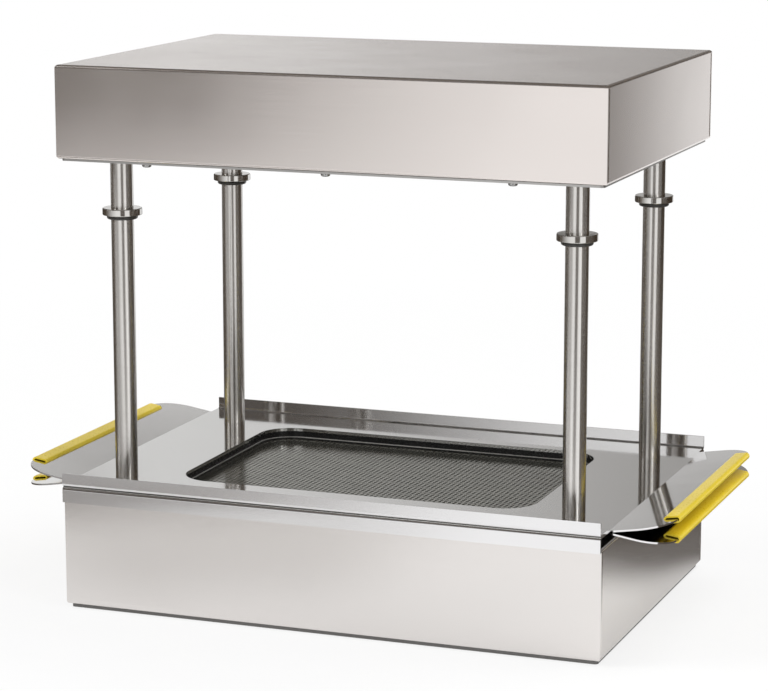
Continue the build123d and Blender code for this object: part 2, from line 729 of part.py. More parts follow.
# The supply cable runs from the switch under the plenum and in at the brace's open end.
supply_start = (switch_x, switch_back - tab_length - cable_diameter / 2, cable_level)
supply_turn_y = (back_wall_inside + brace_length / 2) / 2
supply_entry_x = cable_column[0] - cable_pitch
supply_route = [
    (supply_start[0], supply_start[1], switch_z - tab_width),
    supply_start,
    (switch_x + 3 * cable_bend, supply_turn_y, cable_level),
    (supply_entry_x, supply_turn_y, cable_level),
    (supply_entry_x, base_block_length / 2, cable_level),
]
with BuildPart() as supply_cable:
    with BuildLine():
        FilletPolyline(*supply_route, radius=cable_bend)
    with BuildSketch(Plane(origin=supply_route[0], z_dir=(0, 0, -1))):
        Circle(cable_diameter / 2)
    sweep()
supply_cable.part.label = "supply_cable"
export_step(supply_cable.part, "parts/supply_cable.step")

# The heater cable climbs inside the back right column and drops onto the upper block.
heater_block_x = (reflector_width / 2 + reflector_flange + box_width / 2
                  - return_flange) / 2
heater_block_top = heater_cover_bottom + heater_block_height
cable_crest = heater_block_top + 2 * cable_bend
heater_route = [
    (cable_column[0], base_block_length / 2, cable_level),
    (cable_column[0], cable_column[1], cable_level),
    (cable_column[0], cable_column[1], cable_crest),
    (heater_block_x, heater_block_length / 4, cable_crest),
    (heater_block_x, heater_block_length / 4, heater_block_top),
]
with BuildPart() as heater_cable:
    with BuildLine():
        FilletPolyline(*heater_route, radius=cable_bend)
    with BuildSketch(Plane(origin=heater_route[0], z_dir=(0, 1, 0))):
        Circle(cable_diameter / 2)
    sweep()
heater_cable.part.label = "heater_cable"
export_step(heater_cable.part, "parts/heater_cable.step")

# ---- Columns, their hollow fixings and the stops ------------------------------------
for column_name, (x, y) in column_names.items():
    with BuildPart() as column:
        with BuildSketch(Plane.XY.offset(brace_top)):
            with Locations((x, y)):
                Circle(column_radius)
                Circle(column_bore_radius, mode=Mode.SUBTRACT)
        extrude(amount=heater_floor_bottom - brace_top)
    column.part.label = f"column_{column_name}"
    export_step(column.part, f"parts/column_{column_name}.step")

    with BuildPart() as stop_ring:
        with BuildSketch(Plane.XY.offset(stop_ring_bottom)):
            with Locations((x, y)):
                Circle(stop_ring_diameter / 2)
                Circle(column_radius, mode=Mode.SUBTRACT)
        extrude(amount=stop_ring_height)
        outer_rims = stop_ring.edges().filter_by(GeomType.CIRCLE).sort_by(
            lambda rim: rim.radius)[-2:]
        fillet(outer_rims, stop_ring_edge)
    stop_ring.part.label = f"stop_ring_{column_name}"
    export_step(stop_ring.part, f"parts/stop_ring_{column_name}.step")

    with BuildPart() as stop_cushion:
        with BuildSketch(Plane.XZ.offset(-y)):
            with Locations((x + column_radius + stop_cushion_cord / 2,
                            stop_ring_bottom - stop_cushion_cord / 2)):
                Circle(stop_cushion_cord / 2)
        revolve(axis=Axis((x, y, 0), (0, 0, 1)))
    stop_cushion.part.label = f"stop_cushion_{column_name}"
    export_step(stop_cushion.part, f"parts/stop_cushion_{column_name}.step")

with BuildPart() as column_plugs:
    for plug_plane in (Plane.XY.offset(brace_top),
                       Plane.XY.offset(heater_floor_bottom - plug_length)):
        with BuildSketch(plug_plane):
            with Locations(*column_spots):
                Circle(column_bore_radius)
                Circle(nipple_diameter / 2, mode=Mode.SUBTRACT)
        extrude(amount=plug_length)
column_plugs.part.label = "column_plugs"
export_step(column_plugs.part, "parts/column_plugs.step")

lower_washer_level = brace_top - brace_sheet - washer_thickness
upper_washer_level = heater_cover_bottom
lower_nut_level = lower_washer_level - nut_height
upper_nut_level = upper_washer_level + washer_thickness
with BuildPart() as column_washers:
    for washer_level in (lower_washer_level, upper_washer_level):
        with BuildSketch(Plane.XY.offset(washer_level)):
            with Locations(*column_spots):
                Circle(washer_diameter / 2)
                Circle(nipple_diameter / 2, mode=Mode.SUBTRACT)
        extrude(amount=washer_thickness)
column_washers.part.label = "column_washers"
export_step(column_washers.part, "parts/column_washers.step")

with BuildPart() as column_nuts:
    for nut_level in (lower_nut_level, upper_nut_level):
        with BuildSketch(Plane.XY.offset(nut_level)):
            with Locations(*column_spots):
                RegularPolygon(nut_across_flats / 2, 6, major_radius=False)
                Circle(nipple_diameter / 2, mode=Mode.SUBTRACT)
        extrude(amount=nut_height)
column_nuts.part.label = "column_nuts"
export_step(column_nuts.part, "parts/column_nuts.step")

lower_nipple_bottom = lower_nut_level - nipple_stick_out
upper_nipple_bottom = heater_floor_bottom - nipple_engagement
with BuildPart() as column_nipples:
    for nipple_bottom, nipple_top in (
            (lower_nipple_bottom, brace_top + nipple_engagement),
            (upper_nipple_bottom, upper_nut_level + nut_height + nipple_stick_out)):
        with BuildSketch(Plane.XY.offset(nipple_bottom)):
            with Locations(*column_spots):
                Circle(nipple_diameter / 2)
                Circle(nipple_bore / 2, mode=Mode.SUBTRACT)
        extrude(amount=nipple_top - nipple_bottom)
column_nipples.part.label = "column_nipples"
export_step(column_nipples.part, "parts/column_nipples.step")

# ---- Heater box ---------------------------------------------------------------------
with BuildPart() as heater_cover:
    add(folded_cover(heater_depth, heater_cover_bottom, heater_top))
    with BuildSketch(Plane.XY.offset(heater_cover_bottom)):
        with Locations(*heater_screw_spots):
            Circle(small_screw_diameter / 2)
    extrude(amount=shell_wall, mode=Mode.SUBTRACT)
heater_cover.part.label = "heater_cover"
export_step(heater_cover.part, "parts/heater_cover.step")

with BuildPart() as heater_floor:
    with BuildSketch(Plane.XY.offset(heater_floor_bottom)):
        RectangleRounded(box_width - 2 * lid_inset, heater_depth - 2 * lid_inset,
                         lid_inset)
        Rectangle(radiant_width, radiant_depth, mode=Mode.SUBTRACT)
        with Locations(*column_spots):
            Circle(nipple_diameter / 2, mode=Mode.SUBTRACT)
        with Locations(*heater_screw_spots):
            Circle(small_screw_diameter / 2, mode=Mode.SUBTRACT)
    extrude(amount=heater_floor_thickness)
heater_floor.part.label = "heater_floor"
export_step(heater_floor.part, "parts/heater_floor.step")

floor_screw = button_screw(small_screw_diameter, button_head_diameter,
                           button_head_height, small_screw_length)
with BuildPart() as heater_floor_screws:
    with Locations(*[(x, y, heater_floor_bottom) for x, y in heater_screw_spots]):
        add(floor_screw)
heater_floor_screws.part.label = "heater_floor_screws"
export_step(heater_floor_screws.part, "parts/heater_floor_screws.step")

with BuildPart() as heater_clinch_nuts:
    with BuildSketch(Plane.XY.offset(heater_cover_bottom + shell_wall)):
        with Locations(*heater_screw_spots):
            Circle(clinch_nut_diameter / 2)
            Circle(small_screw_diameter / 2, mode=Mode.SUBTRACT)
    extrude(amount=clinch_nut_height)
heater_clinch_nuts.part.label = "heater_clinch_nuts"
export_step(heater_clinch_nuts.part, "parts/heater_clinch_nuts.step")

with BuildPart() as reflector_tray:
    with BuildSketch(Plane.XY.offset(heater_cover_bottom)):
        Rectangle(reflector_width + 2 * reflector_flange,
                  reflector_depth + 2 * reflector_flange)
    extrude(amount=reflector_sheet)
    with BuildSketch(Plane.XY.offset(heater_cover_bottom)):
        Rectangle(reflector_width, reflector_depth)
    extrude(amount=reflector_height)
    with BuildSketch(Plane.XY.offset(heater_cover_bottom)):
        Rectangle(reflector_width - 2 * reflector_sheet,
                  reflector_depth - 2 * reflector_sheet)
    extrude(amount=reflector_height - reflector_sheet, mode=Mode.SUBTRACT)
reflector_tray.part.label = "reflector_tray"
export_step(reflector_tray.part, "parts/reflector_tray.step")

with BuildPart() as insulation_blanket:
    with BuildSketch(Plane.XY.offset(reflector_top)):
        RectangleRounded(reflector_width, reflector_depth, blanket_corner)
    extrude(amount=blanket_thickness)
insulation_blanket.part.label = "insulation_blanket"
export_step(insulation_blanket.part, "parts/insulation_blanket.step")

with BuildPart() as quartz_elements:
    with BuildSketch(Plane.YZ):
        with Locations(*[(y, element_level) for y in element_spots]):
            Circle(element_diameter / 2)
    extrude(amount=element_length / 2 - end_cap_length / 2, both=True)
quartz_elements.part.label = "quartz_elements"
export_step(quartz_elements.part, "parts/quartz_elements.step")

with BuildPart() as element_end_caps:
    for cap_side in (-1, 1):
        with BuildSketch(Plane.YZ.offset(cap_side * element_length / 2)):
            with Locations(*[(y, element_level) for y in element_spots]):
                Circle(end_cap_diameter / 2)
        extrude(amount=-cap_side * end_cap_length)
    with BuildSketch(Plane.YZ):
        with Locations(*[(y, element_level) for y in element_spots]):
            Circle(element_diameter / 2)
    extrude(amount=element_length / 2 - end_cap_length / 2, both=True,
            mode=Mode.SUBTRACT)
element_end_caps.part.label = "element_end_caps"
export_step(element_end_caps.part, "parts/element_end_caps.step")

bracket_depth = reflector_depth - 2 * reflector_sheet
for bracket_side, x_side in (("left", -1), ("right", 1)):
    bracket_plane = Plane.YZ.offset(x_side * (element_length / 2 - bracket_inset))
    with BuildPart() as element_bracket:
        with BuildSketch(bracket_plane):
            with Locations((0, reflector_top - reflector_sheet - bracket_height / 2)):
                Rectangle(bracket_depth, bracket_height)
            with Locations(*[(y, element_level) for y in element_spots]):
                Circle(end_cap_diameter / 2, mode=Mode.SUBTRACT)
        extrude(amount=x_side * bracket_sheet)
    element_bracket.part.label = f"element_bracket_{bracket_side}"
    export_step(element_bracket.part, f"parts/element_bracket_{bracket_side}.step")

# The guard's rails lie on the heater floor, and its rods are pressed into the rails.
guard_length = radiant_width + guard_ledge
guard_depth = radiant_depth + guard_ledge + guard_rail
guard_rods_across = int(guard_length / guard_pitch)
with BuildPart() as guard_rails:
    with BuildSketch(Plane.XY.offset(heater_cover_bottom)):
        with GridLocations(0, guard_depth - guard_rail, 1, 2):
            Rectangle(guard_length, guard_rail)
    extrude(amount=guard_rail)
    with BuildSketch(Plane.XZ):
        with Locations((0, heater_cover_bottom + guard_rail / 2)):
            with GridLocations(guard_pitch, 0, guard_rods_across, 1):
                Circle(guard_rod / 2)
    extrude(amount=guard_depth / 2, both=True, mode=Mode.SUBTRACT)
guard_rails.part.label = "guard_rails"
export_step(guard_rails.part, "parts/guard_rails.step")

with BuildPart() as guard_rods:
    with BuildSketch(Plane.XZ):
        with Locations((0, heater_cover_bottom + guard_rail / 2)):
            with GridLocations(guard_pitch, 0, guard_rods_across, 1):
                Circle(guard_rod / 2)
    extrude(amount=guard_depth / 2, both=True)
guard_rods.part.label = "guard_rods"
export_step(guard_rods.part, "parts/guard_rods.step")

with BuildPart() as heater_terminal_block:
    with BuildSketch(Plane.XY.offset(heater_cover_bottom)):
        with Locations((heater_block_x, 0)):
            RectangleRounded(heater_block_width, heater_block_length, block_corner)
    extrude(amount=heater_block_height)
heater_terminal_block.part.label = "heater_terminal_block"
export_step(heater_terminal_block.part, "parts/heater_terminal_block.step")

# ---- Clamping frame -----------------------------------------------------------------
with BuildPart() as lower_plate:
    add(frame_plate(-1, lower_skirt_height))
lower_plate.part.label = "lower_plate"
export_step(lower_plate.part, "parts/lower_plate.step")

with BuildPart() as upper_plate:
    add(frame_plate(1, upper_rim_height))
upper_plate.part.label = "upper_plate"
export_step(upper_plate.part, "parts/upper_plate.step")

for plate_name, side in (("lower", -1), ("upper", 1)):
    for trim_side, x_side in (("left", -1), ("right", 1)):
        with BuildPart() as trim:
            add(handle_trim(side, x_side))
        trim.part.label = f"{plate_name}_trim_{trim_side}"
        export_step(trim.part, f"parts/{plate_name}_trim_{trim_side}.step")

print(f"frame travel {frame_travel:.2f} mm, upper plate top {upper_plate_top:.2f} mm")
for cable_name, cable in (("supply", supply_cable), ("heater", heater_cable)):
    cable_length = cable.part.volume / (pi * cable_diameter ** 2 / 4)
    print(f"{cable_name} cable length {cable_length:.1f} mm, bends {cable_bend} mm")
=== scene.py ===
"""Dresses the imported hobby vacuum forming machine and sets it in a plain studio."""
import json
import logging
import math
from dataclasses import dataclass
from enum import Enum

import bmesh
import bpy
from mathutils import Matrix, Vector


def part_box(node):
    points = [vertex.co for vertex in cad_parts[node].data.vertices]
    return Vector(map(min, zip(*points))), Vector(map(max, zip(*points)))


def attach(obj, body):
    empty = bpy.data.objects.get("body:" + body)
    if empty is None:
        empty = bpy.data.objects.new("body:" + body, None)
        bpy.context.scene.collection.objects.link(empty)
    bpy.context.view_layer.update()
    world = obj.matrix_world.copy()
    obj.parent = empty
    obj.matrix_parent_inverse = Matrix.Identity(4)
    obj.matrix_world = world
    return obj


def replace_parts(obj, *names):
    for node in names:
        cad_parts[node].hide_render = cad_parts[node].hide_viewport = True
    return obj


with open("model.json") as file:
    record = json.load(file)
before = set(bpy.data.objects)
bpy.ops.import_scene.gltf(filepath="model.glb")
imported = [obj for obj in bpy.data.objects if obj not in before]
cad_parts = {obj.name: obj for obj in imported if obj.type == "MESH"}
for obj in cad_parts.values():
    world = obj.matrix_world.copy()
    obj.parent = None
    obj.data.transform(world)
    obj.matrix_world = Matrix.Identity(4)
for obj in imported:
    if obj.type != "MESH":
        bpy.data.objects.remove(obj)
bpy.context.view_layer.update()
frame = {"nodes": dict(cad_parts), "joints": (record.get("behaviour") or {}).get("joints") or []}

LOG = logging.getLogger("vacuum_former")
MM = 0.001
# Vertices closer than this are one.
WELD = 0.05 * MM
# The least angle between two faces that makes a sharp edge, in radians.
SHARP = 1.0
# The bands of a wave texture run through this many radians to the unit at a scale of 1.
WAVE_RADIANS = 20.0
CORNERS = ("front_left", "front_right", "back_left", "back_right")
SIDES = ("left", "right")
Tone = tuple[float, float, float]
Point = tuple[float, float, float]
Pair = tuple[float, float]
Value = bpy.types.NodeSocket | float


# ---- Finishes ------------------------------------------------------------------------
# Tones are linear red, green and blue. Grain, patches and other patterns are given in
# features per metre, and depths in metres. Relief is the share of a depth that shows.
class Recipe:
    """One material while it is being mixed: its nodes and the links between them."""

    def __init__(self, name: str) -> None:
        """Starts an empty material.

        Args:
            name: the material's name.
        """
        self.material = bpy.data.materials.new(name)
        self.material.use_nodes = True
        self.tree = self.material.node_tree
        self.tree.nodes.clear()
        self.shader = self.add("ShaderNodeBsdfPrincipled")
        self.surface = self.add("ShaderNodeOutputMaterial").inputs["Surface"]
        self.join(self.shader.outputs["BSDF"], self.surface)
        self.place = self.add("ShaderNodeTexCoord").outputs["Object"]

    def add(self, kind: str, **settings: object) -> bpy.types.Node:
        """Adds a node.

        Args:
            kind: the node's type.
            settings: values for the node's own properties.

        Returns:
            The new node.
        """
        node = self.tree.nodes.new(kind)
        for name, value in settings.items():
            setattr(node, name, value)
        return node

    def join(self, source: bpy.types.NodeSocket, target: bpy.types.NodeSocket) -> None:
        """Links an output to an input."""
        self.tree.links.new(source, target)

    def maths(self, operation: str, *values: Value) -> bpy.types.NodeSocket:
        """Works out a value from others.

        Args:
            operation: what is done with the values.
            values: sockets to read, or plain numbers.

        Returns:
            The result.
        """
        node = self.add("ShaderNodeMath", operation=operation)
        for value, target in zip(values, node.inputs):
            if isinstance(value, float):
                target.default_value = value
            else:
                self.join(value, target)
        return node.outputs["Value"]

    def split(self, vector: bpy.types.NodeSocket) -> bpy.types.bpy_prop_collection:
        """Splits a vector.

        Args:
            vector: the vector.

        Returns:
            Its three components.
        """
        node = self.add("ShaderNodeSeparateXYZ")
        self.join(vector, node.inputs["Vector"])
        return node.outputs

    def stretched(self, scale: Point) -> bpy.types.NodeSocket:
        """Stretches the object's coordinates.

        Args:
            scale: the scale along X, Y and Z.

        Returns:
            The stretched coordinates.
        """
        mapping = self.add("ShaderNodeMapping")
        mapping.inputs["Scale"].default_value = scale
        self.join(self.place, mapping.inputs["Vector"])
        return mapping.outputs["Vector"]

    def noise(self, scale: Point, detail: float = 2.0) -> bpy.types.NodeSocket:
        """Noise whose grain follows a scale for each axis.

        Args:
            scale: features per metre along X, Y and Z.
            detail: octaves of finer noise.

        Returns:
            The noise's value.
        """
        noise = self.add("ShaderNodeTexNoise")
        noise.inputs["Scale"].default_value = 1.0
        noise.inputs["Detail"].default_value = detail
        self.join(self.stretched(scale), noise.inputs["Vector"])
        return noise.outputs["Fac"]

    def span(self, value: bpy.types.NodeSocket, low: float, high: float,
             start: float = 0.3, end: float = 0.7) -> bpy.types.NodeSocket:
        """Spreads a value over a range.

        Args:
            value: the value to spread.
            low: the result at start.
            high: the result at end.
            start: the value that gives low.
            end: the value that gives high.

        Returns:
            The spread value, clamped to the range.
        """
        spread = self.add("ShaderNodeMapRange")
        for name, number in (("From Min", start), ("From Max", end),
                             ("To Min", low), ("To Max", high)):
            spread.inputs[name].default_value = number
        self.join(value, spread.inputs["Value"])
        return spread.outputs["Result"]

    def tones(self, value: bpy.types.NodeSocket, dark: Tone, light: Tone,
              start: float = 0.3, end: float = 0.7) -> bpy.types.NodeSocket:
        """Turns a value into a colour between two tones.

        Args:
            value: the value that picks the tone.
            dark: the tone at start.
            light: the tone at end.
            start: the value that gives dark.
            end: the value that gives light.

        Returns:
            The colour.
        """
        ramp = self.add("ShaderNodeValToRGB")
        stops = ramp.color_ramp.elements
        stops[0].position, stops[0].color = start, (*dark, 1.0)
        stops[1].position, stops[1].color = end, (*light, 1.0)
        self.join(value, ramp.inputs["Fac"])
        return ramp.outputs["Color"]

    def either(self, choice: bpy.types.NodeSocket, first: bpy.types.NodeSocket,
               second: bpy.types.NodeSocket) -> bpy.types.NodeSocket:
        """Picks one of two values.

        Args:
            choice: 0 for the first and 1 for the second, or a blend between them.
            first: the first value.
            second: the second value.

        Returns:
            The picked value.
        """
        mix = self.add("ShaderNodeMix")
        for name, source in (("Factor", choice), ("A", first), ("B", second)):
            self.join(source, mix.inputs[name])
        return mix.outputs["Result"]

    def facing(self, axis: int, start: float = 0.6,
               end: float = 0.8) -> bpy.types.NodeSocket:
        """Tells the faces that lie square to an axis.

        Args:
            axis: 0, 1 or 2 for X, Y or Z.
            start: the normal's share along the axis that begins to count.
            end: the share that counts in full.

        Returns:
            1 where the surface faces along the axis, either way, and 0 elsewhere.
        """
        normal = self.split(self.add("ShaderNodeNewGeometry").outputs["Normal"])
        return self.span(self.maths("ABSOLUTE", normal[axis]), 0.0, 1.0, start, end)

    def bump(self, height: bpy.types.NodeSocket, strength: float, depth: float) -> None:
        """Roughens the surface, over any relief that it already has.

        Args:
            height: the relief, from 0 to 1.
            strength: how much of the relief shows.
            depth: the relief's full height in metres.
        """
        bump = self.add("ShaderNodeBump")
        bump.inputs["Strength"].default_value = strength
        bump.inputs["Distance"].default_value = depth
        self.join(height, bump.inputs["Height"])
        for link in self.shader.inputs["Normal"].links:
            self.join(link.from_socket, bump.inputs["Normal"])
        self.join(bump.outputs["Normal"], self.shader.inputs["Normal"])

    def fix(self, **values: object) -> None:
        """Sets the shader's own sockets, whose names have spaces for underscores."""
        for name, value in values.items():
            self.shader.inputs[name.replace("_", " ")].default_value = value

    def colour(self, source: bpy.types.NodeSocket) -> None:
        """Links the base colour."""
        self.join(source, self.shader.inputs["Base Color"])

    def roughness(self, source: bpy.types.NodeSocket) -> None:
        """Links the roughness."""
        self.join(source, self.shader.inputs["Roughness"])


@dataclass(frozen=True)
class BrushedSheet:
    """Satin stainless sheet, ground along its length and not quite flat."""

    name: str = "brushed_stainless"
    dark: Tone = (0.84, 0.785, 0.755)
    light: Tone = (0.86, 0.805, 0.775)
    smooth: float = 0.187
    rough: float = 0.203
    streak: float = 14.0
    grain: float = 2600.0
    relief: float = 0.04
    depth: float = 0.003 * MM
    cloud: float = 9.0
    drift: float = 0.03
    dent: float = 5.0
    dent_depth: float = 0.25 * MM

    def mix(self) -> bpy.types.Material:
        """Mixes the material: grain along X, and along Y on the end panels.

        Returns:
            The material.
        """
        recipe = Recipe(self.name)
        along_x = recipe.noise((self.streak, self.grain, self.grain), 3.0)
        along_y = recipe.noise((self.grain, self.streak, self.grain), 3.0)
        grain = recipe.either(recipe.facing(0), along_x, along_y)
        recipe.colour(recipe.tones(grain, self.dark, self.light))
        haze = recipe.span(recipe.noise((self.cloud,) * 3), -self.drift, self.drift)
        recipe.roughness(recipe.maths("ADD", haze,
                                      recipe.span(grain, self.smooth, self.rough)))
        recipe.bump(recipe.noise((self.dent,) * 3, 0.0), 1.0, self.dent_depth)
        recipe.bump(grain, self.relief, self.depth)
        recipe.fix(Metallic=1.0)
        return recipe.material


@dataclass(frozen=True)
class PolishedSheet:
    """Mirror-polished stainless sheet with faint wiping marks."""

    name: str = "polished_stainless"
    flat: Tone = (0.66, 0.655, 0.64)
    # The flange tone is the flat tone brightened by a painted highlight, for the light that the
    # flanges reflect.
    flange_with_painted_light: Tone = (0.83, 0.825, 0.83)
    smooth: float = 0.06
    rough: float = 0.11
    patch: Point = (14.0, 22.0, 14.0)
    patch_share: float = 0.3
    hair: Point = (60.0, 3200.0, 3200.0)
    relief: float = 0.05
    depth: float = 0.01 * MM

    def mix(self) -> bpy.types.Material:
        """Mixes the material: wiped haze, fine hairlines, and a painted highlight that makes the
        faces square to Y, the flanges, brighter than the flat.

        Returns:
            The material.
        """
        recipe = Recipe(self.name)
        patches = recipe.noise(self.patch, 4.0)
        # Painted highlight: faces square to Y take the brighter flange tone on top of the wiped
        # haze.
        haze_and_painted_light = recipe.maths("MULTIPLY_ADD", patches, self.patch_share, recipe.facing(1))
        recipe.colour(recipe.tones(haze_and_painted_light, self.flat, self.flange_with_painted_light, 0.0, 1.0))
        recipe.roughness(recipe.span(patches, self.smooth, self.rough))
        recipe.bump(recipe.noise(self.hair), self.relief, self.depth)
        recipe.fix(Metallic=1.0)
        return recipe.material


@dataclass(frozen=True)
class GroundTube:
    """Ground and polished tube, with fine marks round its girth."""

    name: str = "ground_tube"
    dark: Tone = (0.71, 0.69, 0.665)
    light: Tone = (0.75, 0.73, 0.705)
    smooth: float = 0.17
    rough: float = 0.22
    ring: Point = (90.0, 90.0, 3800.0)
    wear: Point = (260.0, 260.0, 12.0)
    relief: float = 0.1
    depth: float = 0.006 * MM
    drawn: float = 0.95

    def mix(self) -> bpy.types.Material:
        """Mixes the material: rings of grinding marks, and long wear up the tube.

        Returns:
            The material.
        """
        recipe = Recipe(self.name)
        rings = recipe.noise(self.ring, 3.0)
        recipe.colour(recipe.tones(rings, self.dark, self.light))
        recipe.roughness(recipe.span(recipe.noise(self.wear), self.smooth, self.rough))
        recipe.bump(rings, self.relief, self.depth)
        girth = recipe.add("ShaderNodeTangent", direction_type="RADIAL", axis="Z")
        recipe.join(girth.outputs["Tangent"], recipe.shader.inputs["Tangent"])
        recipe.fix(Metallic=1.0, Anisotropic=self.drawn, Anisotropic_Rotation=0.25)
        return recipe.material


@dataclass(frozen=True)
class MetalGrain:
    """Plain metal with an even, fine grain: plate, castings and fasteners."""

    name: str
    dark: Tone
    light: Tone
    smooth: float
    rough: float
    grain: float = 900.0
    depth: float = 0.02 * MM
    metal: float = 1.0
    patch: float = 45.0
    relief: float = 0.3

    def mix(self) -> bpy.types.Material:
        """Mixes the material: patches over an even grain.

        Returns:
            The material.
        """
        recipe = Recipe(self.name)
        patches = recipe.noise((self.patch,) * 3, 4.0)
        grain = recipe.noise((self.grain,) * 3)
        recipe.colour(recipe.tones(patches, self.dark, self.light))
        recipe.roughness(recipe.span(grain, self.smooth, self.rough))
        recipe.bump(grain, self.relief, self.depth)
        recipe.fix(Metallic=self.metal)
        return recipe.material


@dataclass(frozen=True)
class SoftSkin:
    """Rubber, vinyl, moulded plastic, ceramic or fibre: a coloured skin with a grain."""

    name: str
    dark: Tone
    light: Tone
    smooth: float
    rough: float
    grain: float
    depth: float
    patch: float = 40.0
    coat: float = 0.0
    coat_roughness: float = 0.08
    sheen: float = 0.0
    relief: float = 0.4

    def mix(self) -> bpy.types.Material:
        """Mixes the material: slow changes of tone over a fine relief.

        Returns:
            The material.
        """
        recipe = Recipe(self.name)
        patches = recipe.noise((self.patch,) * 3, 3.0)
        grain = recipe.noise((self.grain,) * 3)
        recipe.colour(recipe.tones(patches, self.dark, self.light))
        recipe.roughness(recipe.span(grain, self.smooth, self.rough))
        recipe.bump(grain, self.relief, self.depth)
        recipe.fix(Coat_Weight=self.coat, Coat_Roughness=self.coat_roughness,
                   Sheen_Weight=self.sheen)
        return recipe.material


@dataclass(frozen=True)
class MilkyQuartz:
    """Quartz tube with a coil that shows through it."""

    name: str = "milky_quartz"
    coil: Tone = (0.34, 0.31, 0.29)
    tube: Tone = (0.78, 0.75, 0.70)
    coil_width: Pair = (0.2, 0.6)
    turns: float = 165.0
    sag: float = 0.4
    stretch: Point = (1.0, 0.12, 0.12)
    smooth: float = 0.12
    rough: float = 0.25
    cloud: float = 80.0

    def mix(self) -> bpy.types.Material:
        """Mixes the material: the coil's turns show as rings along the tube.

        Returns:
            The material.
        """
        recipe = Recipe(self.name)
        rings = recipe.add("ShaderNodeTexWave", wave_type="BANDS", bands_direction="X")
        rings.inputs["Scale"].default_value = self.turns * math.tau / WAVE_RADIANS
        rings.inputs["Distortion"].default_value = self.sag
        recipe.join(recipe.stretched(self.stretch), rings.inputs["Vector"])
        recipe.colour(recipe.tones(rings.outputs["Fac"], self.coil, self.tube,
                                   *self.coil_width))
        clouds = recipe.noise((self.cloud,) * 3)
        recipe.roughness(recipe.span(clouds, self.smooth, self.rough))
        recipe.fix(Coat_Weight=0.6, Coat_Roughness=0.05)
        return recipe.material


class Finish(Enum):
    """The finishes of this machine."""

    SHELL = BrushedSheet()
    BASE = BrushedSheet("base_stainless", (0.79, 0.76, 0.74), (0.81, 0.78, 0.76))
    PLAIN = BrushedSheet("plain_sheet", (0.50, 0.49, 0.48), (0.58, 0.57, 0.56), 0.30, 0.42)
    # Painted shade: the base's floor plate is darkened to stand for the shadow gap under the
    # box.
    PAINTED_SHADE_UNDERSIDE = BrushedSheet("painted_shade_sheet", (0.15, 0.145, 0.14), (0.19, 0.185, 0.18),
                             0.34, 0.44)
    MIRROR = PolishedSheet()
    TUBE = GroundTube()
    NICKEL = MetalGrain("bright_nickel", (0.66, 0.645, 0.62), (0.74, 0.73, 0.71),
                        0.05, 0.11, grain=1500.0, depth=0.005 * MM)
    PERFORATED = MetalGrain("perforated_steel", (0.20, 0.197, 0.168), (0.25, 0.246, 0.212),
                            0.14, 0.22, depth=0.01 * MM, metal=0.84)
    # Painted highlight: the bead's light grey tone stands for the highlight line along the
    # gasket's foot.
    HIGHLIGHT_BEAD = MetalGrain("bead_painted_highlight", (0.40, 0.39, 0.37), (0.48, 0.47, 0.45),
                      0.30, 0.40, depth=0.01 * MM, metal=0.5)
    ZINC = MetalGrain("zinc_plate", (0.52, 0.53, 0.55), (0.64, 0.65, 0.66), 0.28, 0.42)
    SCREW = MetalGrain("screw_steel", (0.42, 0.42, 0.42), (0.56, 0.56, 0.55), 0.20, 0.32)
    BRASS = MetalGrain("stamped_brass", (0.70, 0.52, 0.22), (0.80, 0.62, 0.30), 0.22, 0.34)
    REFLECTOR = MetalGrain("reflector_sheet", (0.76, 0.76, 0.77), (0.84, 0.84, 0.85),
                           0.10, 0.18)
    RUBBER = SoftSkin("black_rubber", (0.007, 0.007, 0.007), (0.014, 0.014, 0.014),
                      0.20, 0.30, 700.0, 0.004 * MM)
    CORD = SoftSkin("cushion_rubber", (0.03, 0.029, 0.027), (0.05, 0.048, 0.045),
                    0.16, 0.24, 900.0, 0.004 * MM)
    VINYL = SoftSkin("yellow_vinyl", (0.80, 0.60, 0.02), (0.86, 0.66, 0.035),
                     0.26, 0.34, 900.0, 0.004 * MM, patch=30.0, coat=0.15)
    MOULDING = SoftSkin("black_moulding", (0.018, 0.018, 0.019), (0.032, 0.032, 0.034),
                        0.42, 0.58, 1600.0, 0.03 * MM)
    CERAMIC = SoftSkin("white_ceramic", (0.72, 0.70, 0.64), (0.84, 0.82, 0.77),
                       0.45, 0.62, 600.0, 0.04 * MM)
    FIBRE = SoftSkin("ceramic_fibre", (0.74, 0.72, 0.66), (0.88, 0.87, 0.83),
                     0.85, 1.0, 420.0, 0.6 * MM, patch=90.0, sheen=0.4)
    QUARTZ = MilkyQuartz()
    SHEATH = SoftSkin("cable_sheath", (0.045, 0.045, 0.047), (0.07, 0.07, 0.072),
                      0.38, 0.5, 800.0, 0.02 * MM)
    MARK = SoftSkin("white_marking", (0.74, 0.74, 0.72), (0.82, 0.82, 0.80),
                    0.4, 0.5, 900.0, 0.01 * MM)


class Cabinet:
    """Keeps each finish's material, so that it is mixed once."""

    def __init__(self) -> None:
        """Starts with no material mixed."""
        self.mixed: dict[Finish, bpy.types.Material] = {}

    def material(self, finish: Finish) -> bpy.types.Material:
        """Finds a finish's material, and mixes it at its first use.

        Args:
            finish: the finish.

        Returns:
            Its material.
        """
        if finish not in self.mixed:
            self.mixed[finish] = finish.value.mix()
        return self.mixed[finish]

    def dress(self, finish: Finish, *names: str) -> None:
        """Gives CAD nodes a finish.

        Args:
            finish: the finish.
            names: the nodes' names.
        """
        for name in names:
            skin = frame["nodes"][name].data
            skin.materials.clear()
            skin.materials.append(self.material(finish))
            LOG.info("%s: %s", name, finish.name.lower())


